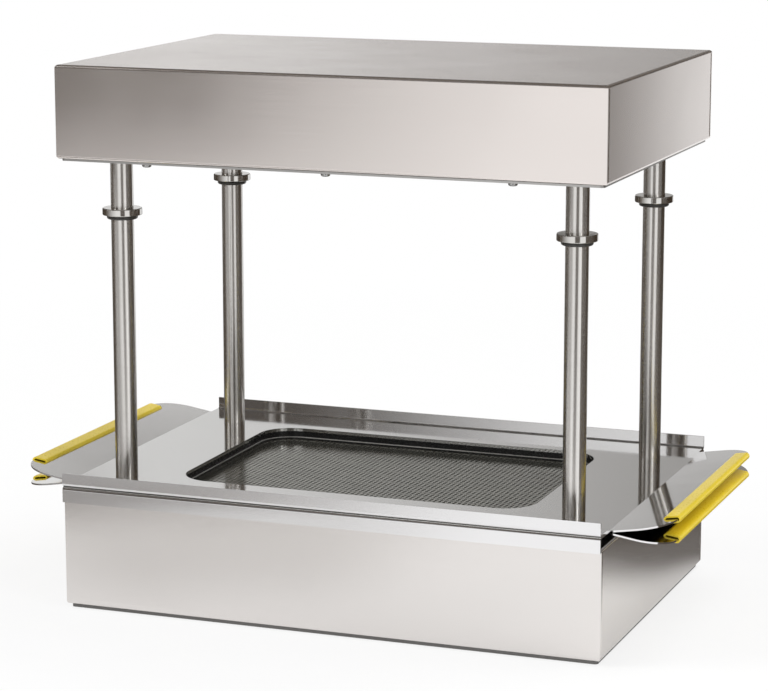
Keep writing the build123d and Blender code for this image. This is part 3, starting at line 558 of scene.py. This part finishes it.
def bolted_piece(name: str, body: str, mesh: bmesh.types.BMesh,
                 finish: bpy.types.Material) -> bpy.types.Object:
    """Turns a finished bmesh into a piece that rides on a body.

    Args:
        name: the piece's name.
        body: the CAD body that carries it.
        mesh: the shape, in the frame's own coordinates. It is freed.
        finish: the piece's material.

    Returns:
        The piece's object, at the origin.
    """
    data = bpy.data.meshes.new(name)
    mesh.to_mesh(data)
    mesh.free()
    data.materials.append(finish)
    piece = bpy.data.objects.new(name, data)
    bpy.context.scene.collection.objects.link(piece)
    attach(piece, body)
    LOG.info("%s: %d faces on %s", name, len(data.polygons), body)
    return piece


# ---- The machine's sub-assemblies ----------------------------------------------------
@dataclass
class Base:
    """The folded base, its floor plate and what stands inside it."""

    cabinet: Cabinet

    def dress(self) -> None:
        """Finishes the shell, the floor plate, the braces and their fixings."""
        self.cabinet.dress(Finish.BASE, "base_shell")
        # Painted shade: the floor plate takes a dark finish for the shadow under the base.
        self.cabinet.dress(Finish.PAINTED_SHADE_UNDERSIDE, "base_plate")
        self.cabinet.dress(Finish.PLAIN, "plenum_tray")
        self.cabinet.dress(Finish.ZINC, "base_clinch_nuts", "platen_nuts",
                           *(f"column_brace_{side}" for side in SIDES))
        self.cabinet.dress(Finish.SCREW, "base_plate_screws")


@dataclass
class VacuumTable:
    """The perforated platen with its gasket, screws and hose spigot.

    The holes stand in staggered columns, inside a plain margin. The bead lies on the
    gasket's foot. A hole's outline starts as an inset of its cell, by a share of the
    pitch, and is then moved out to the hole's circle.
    """

    cabinet: Cabinet
    hole_pitch: float = 4.24 * MM
    hole_diameter: float = 2.6 * MM
    hole_start: float = 0.125
    rows: int = 43
    column_pairs: int = 37
    margin: float = 17.0 * MM
    corner: float = 8.0 * MM
    corner_segments: int = 10
    bead_inset: float = 10.2 * MM
    bead_width: float = 1.1 * MM
    bead_height: float = 0.6 * MM
    bead_edge: float = 0.25 * MM
    foot_height: float = 1.0 * MM
    gasket_corner: float = 36.0 * MM

    def dress(self) -> None:
        """Builds the perforated sheet and the gasket's bead, and finishes the rest."""
        self.build_sheet()
        self.build_bead()
        self.cabinet.dress(Finish.RUBBER, "platen_gasket", "spigot_seal")
        self.cabinet.dress(Finish.SCREW, "platen_screws", "spigot_screws")
        self.cabinet.dress(Finish.MOULDING, "hose_spigot")

    def punch_cell(self, mesh: bmesh.types.BMesh) -> list[bmesh.types.BMFace]:
        """Makes one cell of the sheet: a rectangle with a round hole.

        Args:
            mesh: the bmesh that takes the cell.

        Returns:
            The cell's faces.
        """
        row_pitch = self.hole_pitch * math.sqrt(3) / 2
        grid = bmesh.ops.create_grid(mesh, x_segments=2, y_segments=2, size=0.5)["verts"]
        bmesh.ops.scale(mesh, vec=(row_pitch, self.hole_pitch, 1.0), verts=grid)
        middle = min(grid, key=lambda vert: vert.co.length)
        bmesh.ops.dissolve_verts(mesh, verts=[middle])
        field = mesh.faces[:]
        bmesh.ops.inset_individual(mesh, faces=field,
                                   thickness=self.hole_pitch * self.hole_start)
        for vert in field[0].verts:
            vert.co = vert.co.normalized() * self.hole_diameter / 2
        bmesh.ops.delete(mesh, geom=field, context="FACES")
        return mesh.faces[:]

    def build_sheet(self) -> bpy.types.Object:
        """Builds the sheet: cells in staggered columns inside a plain margin.

        Returns:
            The piece that stands for the CAD platen.
        """
        low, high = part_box("perforated_platen")
        row_pitch = self.hole_pitch * math.sqrt(3) / 2
        mesh = bmesh.new()
        self.punch_cell(mesh)
        repeats = ((1, (row_pitch, self.hole_pitch / 2, 0.0)),
                   (self.rows - 1, (0.0, self.hole_pitch, 0.0)),
                   (self.column_pairs - 1, (2 * row_pitch, 0.0, 0.0)))
        for count, step in repeats:
            pattern = mesh.faces[:]
            for index in range(1, count + 1):
                copy = bmesh.ops.duplicate(mesh, geom=pattern)["geom"]
                moved = [item for item in copy if isinstance(item, bmesh.types.BMVert)]
                bmesh.ops.translate(mesh, vec=Vector(step) * index, verts=moved)
        shift = Vector(((1 - 2 * self.column_pairs) * row_pitch / 2,
                        -(self.rows - 0.5) * self.hole_pitch / 2, high.z))
        bmesh.ops.translate(mesh, vec=shift, verts=mesh.verts[:])
        bmesh.ops.remove_doubles(mesh, verts=mesh.verts[:], dist=WELD)
        self.add_margin(mesh, low, high)
        bmesh.ops.solidify(mesh, geom=mesh.faces[:], thickness=high.z - low.z)
        sheet = bolted_piece("platen_sheet", "root", mesh,
                             self.cabinet.material(Finish.PERFORATED))
        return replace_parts(sheet, "perforated_platen")

    def add_margin(self, mesh: bmesh.types.BMesh, low: Vector, high: Vector) -> None:
        """Adds the plain margin round the holes.

        Args:
            mesh: the bmesh that takes the margin.
            low: the platen's lowest corner.
            high: the platen's highest corner.
        """
        rims = (self.outline(mesh, low, high, 0.0, self.corner, high.z)
                + self.outline(mesh, low, high, self.margin, 0.0, high.z))
        bmesh.ops.triangle_fill(mesh, edges=rims, use_beauty=True, normal=(0.0, 0.0, 1.0))

    def outline(self, mesh: bmesh.types.BMesh, low: Vector, high: Vector, inset: float,
                corner: float, level: float) -> list[bmesh.types.BMEdge]:
        """Draws a rectangle, rounded if it has a corner radius, inside a box's plan.

        Args:
            mesh: the bmesh that takes the edges.
            low: the box's lowest corner.
            high: the box's highest corner.
            inset: how far inside the box the rectangle lies.
            corner: its corner radius.
            level: its height.

        Returns:
            The rectangle's edges.
        """
        before = set(mesh.verts)
        grid = bmesh.ops.create_grid(mesh, x_segments=1, y_segments=1, size=0.5)["verts"]
        bmesh.ops.scale(mesh, verts=grid, vec=(high.x - low.x - 2 * inset,
                                               high.y - low.y - 2 * inset, 1.0))
        bmesh.ops.translate(mesh, vec=(0.0, 0.0, level), verts=grid)
        if corner:
            bmesh.ops.bevel(mesh, geom=grid, offset=corner, profile=0.5,
                            segments=self.corner_segments, affect="VERTICES", material=-1)
        plate = [face for face in mesh.faces if face.verts[0] not in before]
        edges = [edge for face in plate for edge in face.edges]
        bmesh.ops.delete(mesh, geom=plate, context="FACES_ONLY")
        return edges

    def build_bead(self) -> bpy.types.Object:
        """Builds the thin metal bead on the gasket's foot, whose light grey tone is a painted
        highlight along the foot.

        Returns:
            The bead.
        """
        low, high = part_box("platen_gasket")
        level = low.z + self.foot_height + self.bead_height
        mesh = bmesh.new()
        rims: list[bmesh.types.BMEdge] = []
        for inset in (self.bead_inset, self.bead_inset + self.bead_width):
            rims += self.outline(mesh, low, high, inset, self.gasket_corner - inset, level)
        bmesh.ops.triangle_fill(mesh, edges=rims, use_beauty=True, normal=(0.0, 0.0, 1.0))
        bmesh.ops.solidify(mesh, geom=mesh.faces[:], thickness=self.bead_height)
        bmesh.ops.recalc_face_normals(mesh, faces=mesh.faces[:])
        tops = [edge for edge in mesh.edges if edge.calc_face_angle(0.0) > SHARP
                and min(vert.co.z for vert in edge.verts) > level - self.bead_edge]
        bmesh.ops.bevel(mesh, geom=tops, offset=self.bead_edge, segments=2, profile=0.5,
                        affect="EDGES", material=-1)
        return bolted_piece("gasket_bead", "root", mesh,
                            self.cabinet.material(Finish.HIGHLIGHT_BEAD))


@dataclass
class MainsPanel:
    """The inlet, the rocker switch and the wiring behind them.

    The rocker's face dips to its middle, with a slope to each end, and stands tilted at
    rest. Both angles are in degrees.
    """

    cabinet: Cabinet
    mark_size: float = 3.4 * MM
    mark_stroke: float = 0.6 * MM
    mark_reach: float = 5.6 * MM
    mark_depth: float = 0.3 * MM
    ring_sides: int = 24
    bar_sides: int = 4
    bar_stretch: float = 1.4
    tilt: float = -7.0
    slope: float = 11.3
    dip: float = 2.0 * MM

    def dress(self) -> None:
        """Finishes the moulded parts, the pins and the cables, and marks the rocker."""
        self.cabinet.dress(Finish.MOULDING, "power_inlet", "switch_housing",
                           "switch_rocker")
        self.cabinet.dress(Finish.BRASS, "inlet_pins", "switch_tabs")
        self.cabinet.dress(Finish.SCREW, "inlet_screws")
        self.cabinet.dress(Finish.CERAMIC, "base_terminal_block", "heater_terminal_block")
        self.cabinet.dress(Finish.SHEATH, "supply_cable", "heater_cable")
        self.mark("rocker_off_mark", -1.0, self.ring_sides)
        self.mark("rocker_on_mark", 1.0, self.bar_sides)

    def mark(self, name: str, end: float, sides: int) -> None:
        """Inlays the off ring or the on bar in one end of the rocker, level with its face.

        Args:
            name: the mark's name.
            end: -1 for the lower end and 1 for the upper.
            sides: the number of sides of the mark's outline.
        """
        pivot = next(Vector(joint["pos_m"]) for joint in frame["joints"]
                     if joint["name"] == "switch_rock")
        mesh = bmesh.new()
        disc = bmesh.ops.create_circle(mesh, cap_ends=True, segments=sides,
                                       radius=self.mark_size / 2)["verts"]
        if sides == self.bar_sides:
            bmesh.ops.rotate(mesh, verts=disc,
                             matrix=Matrix.Rotation(math.pi / self.bar_sides, 3, "Z"))
            width = self.mark_stroke / self.mark_size * self.bar_stretch
            bmesh.ops.scale(mesh, vec=(width, self.bar_stretch, 1.0), verts=disc)
        else:
            core = mesh.faces[:]
            bmesh.ops.inset_individual(mesh, faces=core, thickness=self.mark_stroke)
            bmesh.ops.delete(mesh, geom=core, context="FACES")
        bmesh.ops.solidify(mesh, geom=mesh.faces[:], thickness=self.mark_depth)
        bmesh.ops.recalc_face_normals(mesh, faces=mesh.faces[:])
        height = self.dip + math.tan(math.radians(self.slope)) * self.mark_reach
        bmesh.ops.rotate(mesh, verts=mesh.verts[:],
                         matrix=Matrix.Rotation(math.radians(end * self.slope), 3, "X"))
        bmesh.ops.translate(mesh, vec=(0.0, end * self.mark_reach, height),
                            verts=mesh.verts[:])
        stand = Matrix(((-1.0, 0.0, 0.0), (0.0, 0.0, 1.0), (0.0, 1.0, 0.0)))
        turn = Matrix.Rotation(math.radians(self.tilt), 3, "X")
        bmesh.ops.rotate(mesh, matrix=turn @ stand, verts=mesh.verts[:])
        bmesh.ops.translate(mesh, vec=pivot, verts=mesh.verts[:])
        bolted_piece(name, "rocker", mesh,
                     self.cabinet.material(Finish.MARK))


@dataclass
class Columns:
    """The four columns with their stops and hollow fixings."""

    cabinet: Cabinet

    def dress(self) -> None:
        """Finishes the tubes, the stop rings, the cushions and the fixings."""
        self.cabinet.dress(Finish.TUBE, *(f"column_{corner}" for corner in CORNERS))
        self.cabinet.dress(Finish.NICKEL, *(f"stop_ring_{corner}" for corner in CORNERS))
        self.cabinet.dress(Finish.CORD, *(f"stop_cushion_{corner}" for corner in CORNERS))
        self.cabinet.dress(Finish.ZINC, "column_plugs", "column_nipples", "column_nuts",
                           "column_washers")


@dataclass
class HeaterBox:
    """The folded heater box with its reflector and quartz elements."""

    cabinet: Cabinet

    def dress(self) -> None:
        """Finishes the cover, the floor, the reflector and the elements."""
        self.cabinet.dress(Finish.SHELL, "heater_cover")
        self.cabinet.dress(Finish.PLAIN, "heater_floor")
        self.cabinet.dress(Finish.SCREW, "heater_floor_screws", "guard_rails",
                           "guard_rods")
        self.cabinet.dress(Finish.ZINC, "heater_clinch_nuts",
                           *(f"element_bracket_{side}" for side in SIDES))
        self.cabinet.dress(Finish.REFLECTOR, "reflector_tray")
        self.cabinet.dress(Finish.FIBRE, "insulation_blanket")
        self.cabinet.dress(Finish.QUARTZ, "quartz_elements")
        self.cabinet.dress(Finish.CERAMIC, "element_end_caps")


@dataclass
class ClampFrame:
    """The two polished plates that clamp the sheet, and their handle trims."""

    cabinet: Cabinet

    def dress(self) -> None:
        """Finishes the plates and the four trims."""
        for plate in ("lower", "upper"):
            self.cabinet.dress(Finish.MIRROR, f"{plate}_plate")
            self.cabinet.dress(Finish.VINYL, *(f"{plate}_trim_{side}" for side in SIDES))


# ---- The studio ----------------------------------------------------------------------
@dataclass(frozen=True)
class Card:
    """A soft-edged screen that only the metal sees. It gives polished parts their darks.

    Its azimuths run from the front towards the right, in degrees. Its radii and levels
    are those of its first and its second long edge. Its fades are the shares of its
    length and of its width over which it thins out at each end, and its strength is how
    much of it is there between them.
    """

    name: str
    azimuths: Pair
    radii: Pair
    levels: Pair
    strength: float
    fades: Pair
    tone: Tone = (0.060, 0.046, 0.034)
    steps: int = 24

    def shape(self) -> bmesh.types.BMesh:
        """Bends a grid round the machine between the card's edges.

        Returns:
            The card's mesh, with a UV map along its length and its width.
        """
        mesh = bmesh.new()
        mesh.loops.layers.uv.new("card")
        bmesh.ops.create_grid(mesh, x_segments=self.steps, y_segments=2, size=0.5,
                              calc_uvs=True)
        for vert in mesh.verts:
            around, along = vert.co.x + 0.5, vert.co.y + 0.5
            turn = math.radians(self.between(self.azimuths, around))
            radius = self.between(self.radii, along)
            level = self.between(self.levels, along)
            vert.co = (math.sin(turn) * radius, -math.cos(turn) * radius, level)
        return mesh

    def between(self, ends: Pair, share: float) -> float:
        """The value at a share of the way from one end to the other."""
        return ends[0] + (ends[1] - ends[0]) * share

    def mix(self) -> bpy.types.Material:
        """Mixes the card's material, which fades out towards its edges.

        Returns:
            The material.
        """
        recipe = Recipe(self.name)
        recipe.fix(Base_Color=(*self.tone, 1.0), Roughness=1.0, Specular_IOR_Level=0.0)
        places = recipe.split(recipe.add("ShaderNodeUVMap").outputs["UV"])
        covers = [self.fade(recipe, place, reach)
                  for place, reach in zip(places, self.fades)]
        alpha = recipe.maths("MULTIPLY", recipe.maths("MULTIPLY", *covers), self.strength)
        recipe.join(alpha, recipe.shader.inputs["Alpha"])
        return recipe.material

    def fade(self, recipe: Recipe, place: bpy.types.NodeSocket,
             reach: float) -> bpy.types.NodeSocket:
        """Thins the card out towards two opposite edges.

        Args:
            recipe: the card's material.
            place: the place between the edges, from 0 to 1.
            reach: the share of the way over which each end thins out.

        Returns:
            0 at the edges and 1 between them.
        """
        edge = recipe.add("ShaderNodeMapRange", interpolation_type="SMOOTHSTEP")
        edge.inputs["From Max"].default_value = reach
        recipe.join(recipe.maths("PINGPONG", place, 0.5), edge.inputs["Value"])
        return edge.outputs["Result"]


@dataclass(frozen=True)
class Lamp:
    """A soft box: its place and its size in metres, and its power in watts."""

    name: str
    middle: Point
    size: Pair
    power: float


@dataclass
class Studio:
    """A pale floor, soft boxes, screens and the camera.

    Near the machine the floor is partly plain white, and farther out it is all white. The
    share and the reach say how much and how far, for the camera and for reflections.
    """

    target: Point = (-0.00633, 0.0, 0.1794)
    distance: float = 2.0509
    azimuth: float = 20.65
    elevation: float = 11.14
    lens: float = 132.71
    clip: Pair = (0.05, 60.0)
    floor_reach: float = 20.0
    floor_gap: float = 0.5 * MM
    sky: float = 0.55
    floor_grain: float = 30.0
    floor_dark: Tone = (0.89, 0.89, 0.89)
    floor_light: Tone = (0.91, 0.91, 0.91)
    seen_share: Pair = (0.8, 1.0)
    seen_reach: Pair = (0.35, 1.3)
    mirrored_share: Pair = (0.35, 1.0)
    mirrored_reach: Pair = (0.35, 0.9)
    lamps: tuple[Lamp, ...] = (
        Lamp("key_box", (-2.4, -1.3, 1.9), (1.4, 1.6), 54.0),
        Lamp("fill_box", (2.4, -1.2, 1.6), (1.4, 1.8), 22.0),
        Lamp("top_box", (0.9, 0.7, 2.4), (1.4, 1.4), 26.0),
    )
    cards: tuple[Card, ...] = (
        Card("near_mat", (92.0, 291.0), (0.20, 0.8), (0.001, 0.001), 0.85, (0.135, 0.12)),
        Card("right_mat", (60.0, 154.0), (0.27, 2.6), (0.002, 0.002), 0.96, (0.05, 0.06)),
        Card("left_mat", (180.0, 283.0), (0.7, 2.6), (0.003, 0.003), 0.96, (0.08, 0.05)),
        Card("front_left_mat", (200.0, 355.0), (0.42, 2.6), (0.004, 0.004), 0.94,
             (0.5, 0.06)),
        Card("front_mat", (6.0, 37.0), (0.55, 2.6), (0.005, 0.005), 0.9, (0.2, 0.05)),
        Card("flange_mat", (-66.0, -3.0), (0.40, 0.95), (0.006, 0.006), 0.42, (0.4, 0.2)),
        Card("front_near_mat", (-62.0, 8.0), (0.14, 0.66), (0.007, 0.007), 0.27,
             (0.35, 0.36), (0.11, 0.085, 0.06)),
        Card("side_screen", (96.0, 156.3), (0.72, 0.72), (0.09, 0.66), 0.96, (0.25, 0.2)),
        Card("right_screen", (58.0, 156.0), (2.5, 2.5), (0.0, 1.9), 0.9, (0.05, 0.08)),
        Card("left_screen", (218.0, 288.0), (2.5, 2.5), (0.0, 1.9), 0.9, (0.15, 0.08)),
        Card("front_screen", (6.0, 37.0), (2.5, 2.5), (0.0, 1.0), 0.85, (0.2, 0.08)),
        Card("front_left_screen", (-100.0, -12.5), (2.3, 2.3), (0.0, 1.7), 0.94,
             (0.175, 0.05)),
        Card("front_top_screen", (-80.0, 76.0), (2.35, 2.35), (0.75, 1.8), 0.9,
             (0.09, 0.15)),
        Card("ceiling", (-180.0, 180.0), (2.5, 0.0), (1.75, 2.5), 0.92, (0.001, 0.08)),
        Card("back_screen", (100.0, 214.0), (2.2, 2.2), (0.34, 1.8), 0.9, (0.386, 0.08)),
        Card("back_veil", (180.0, 245.0), (2.15, 2.15), (0.2, 1.6), 0.22, (0.2, 0.1)),
        Card("back_left_screen", (209.0, 236.0), (2.45, 2.45), (0.6, 1.9), 0.8,
             (0.3, 0.1)),
        Card("wing_screen", (168.0, 218.0), (2.1, 2.1), (0.72, 1.7), 0.4, (0.3, 0.15)),
    )

    def pale_shader(self) -> bpy.types.Material:
        """Makes a white floor that still shows the object's shadow.

        Returns:
            The material: near the object a share of it is a plain white surface in the
            light, and farther out it is all white for the camera and in reflections.
        """
        recipe = Recipe("pale_floor")
        recipe.fix(Roughness=0.9)
        grain = recipe.noise((self.floor_grain,) * 3)
        recipe.colour(recipe.tones(grain, self.floor_dark, self.floor_light))
        away = recipe.add("ShaderNodeVectorMath", operation="LENGTH")
        recipe.join(recipe.place, away.inputs[0])
        rays = recipe.add("ShaderNodeLightPath").outputs
        sent_on = recipe.maths("MAXIMUM", rays["Is Glossy Ray"], rays["Is Transmission Ray"])
        shares = []
        for ray, share, reach in (
                (rays["Is Camera Ray"], self.seen_share, self.seen_reach),
                (sent_on, self.mirrored_share, self.mirrored_reach)):
            amount = recipe.span(away.outputs["Value"], *share, *reach)
            shares.append(recipe.maths("MULTIPLY", ray, amount))
        mix = recipe.add("ShaderNodeMixShader")
        white = recipe.add("ShaderNodeEmission")
        recipe.join(recipe.maths("MAXIMUM", *shares), mix.inputs["Fac"])
        recipe.join(recipe.shader.outputs["BSDF"], mix.inputs[1])
        recipe.join(white.outputs["Emission"], mix.inputs[2])
        recipe.join(mix.outputs["Shader"], recipe.surface)
        return recipe.material

    def stage_piece(self, name: str, mesh: bmesh.types.BMesh,
                    material: bpy.types.Material) -> bpy.types.Object:
        """Makes a stage piece.

        Args:
            name: the piece's name.
            mesh: its shape. It is freed.
            material: its material.

        Returns:
            The piece.
        """
        data = bpy.data.meshes.new(name)
        mesh.to_mesh(data)
        mesh.free()
        data.materials.append(material)
        piece = bpy.data.objects.new(name, data)
        bpy.context.scene.collection.objects.link(piece)
        return piece

    def facing_target(self, middle: Point) -> Matrix:
        """The place and turn of something at middle whose face looks at the target."""
        aim = (Vector(middle) - Vector(self.target)).to_track_quat("Z", "Y")
        return Matrix.Translation(middle) @ aim.to_matrix().to_4x4()

    def lay_floor(self) -> None:
        """Lays the pale floor."""
        mesh = bmesh.new()
        bmesh.ops.create_grid(mesh, x_segments=1, y_segments=1, size=self.floor_reach,
                              matrix=Matrix.Translation((0.0, 0.0, -self.floor_gap)))
        self.stage_piece("floor", mesh, self.pale_shader())

    def hang_cards(self) -> None:
        """Hangs the screens that only reflections show."""
        for card in self.cards:
            screen = self.stage_piece(card.name, card.shape(), card.mix())
            screen.visible_camera = False
            screen.visible_diffuse = False
            screen.visible_shadow = False

    def hang_lamps(self) -> None:
        """Hangs the soft boxes."""
        for lamp in self.lamps:
            light = bpy.data.lights.new(lamp.name, "AREA")
            light.shape = "RECTANGLE"
            light.size, light.size_y = lamp.size
            light.energy = lamp.power
            holder = bpy.data.objects.new(lamp.name, light)
            holder.matrix_world = self.facing_target(lamp.middle)
            bpy.context.scene.collection.objects.link(holder)

    def paint_sky(self) -> None:
        """Gives the world an even white that lights gently and looks white."""
        world = bpy.data.worlds.new("white_studio")
        world.use_nodes = True
        bpy.context.scene.world = world
        nodes, links = world.node_tree.nodes, world.node_tree.links
        nodes.clear()
        rays = nodes.new("ShaderNodeLightPath").outputs
        seen = rays["Is Camera Ray"]
        for kind in ("Is Glossy Ray", "Is Transmission Ray"):
            either = nodes.new("ShaderNodeMath")
            either.operation = "MAXIMUM"
            links.new(seen, either.inputs[0])
            links.new(rays[kind], either.inputs[1])
            seen = either.outputs["Value"]
        mix, output = nodes.new("ShaderNodeMixShader"), nodes.new("ShaderNodeOutputWorld")
        links.new(seen, mix.inputs["Fac"])
        for index, strength in ((1, self.sky), (2, 1.0)):
            background = nodes.new("ShaderNodeBackground")
            background.inputs["Color"].default_value = (1.0, 1.0, 1.0, 1.0)
            background.inputs["Strength"].default_value = strength
            links.new(background.outputs["Background"], mix.inputs[index])
        links.new(mix.outputs["Shader"], output.inputs["Surface"])

    def set_camera(self) -> None:
        """Puts the camera at the photograph's viewing angle."""
        turn, rise = math.radians(self.azimuth), math.radians(self.elevation)
        back = Vector((math.sin(turn) * math.cos(rise), -math.cos(turn) * math.cos(rise),
                       math.sin(rise)))
        lens = bpy.data.cameras.new("camera")
        lens.lens = self.lens
        lens.clip_start, lens.clip_end = self.clip
        camera = bpy.data.objects.new("camera", lens)
        camera.location = Vector(self.target) + back * self.distance
        camera.rotation_mode = "QUATERNION"
        camera.rotation_quaternion = (-back).to_track_quat("-Z", "Y")
        bpy.context.scene.collection.objects.link(camera)
        bpy.context.scene.camera = camera

    def build(self) -> None:
        """Sets the whole studio up."""
        self.lay_floor()
        self.hang_cards()
        self.hang_lamps()
        self.paint_sky()
        self.set_camera()
        bpy.context.scene.view_settings.view_transform = "Standard"


def main() -> None:
    """Dresses every sub-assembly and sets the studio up."""
    logging.basicConfig(level=logging.INFO, format="%(message)s")
    cabinet = Cabinet()
    for assembly in (Base, VacuumTable, MainsPanel, Columns, HeaterBox, ClampFrame):
        assembly(cabinet).dress()
    Studio().build()


if __name__ == "__main__":
    main()
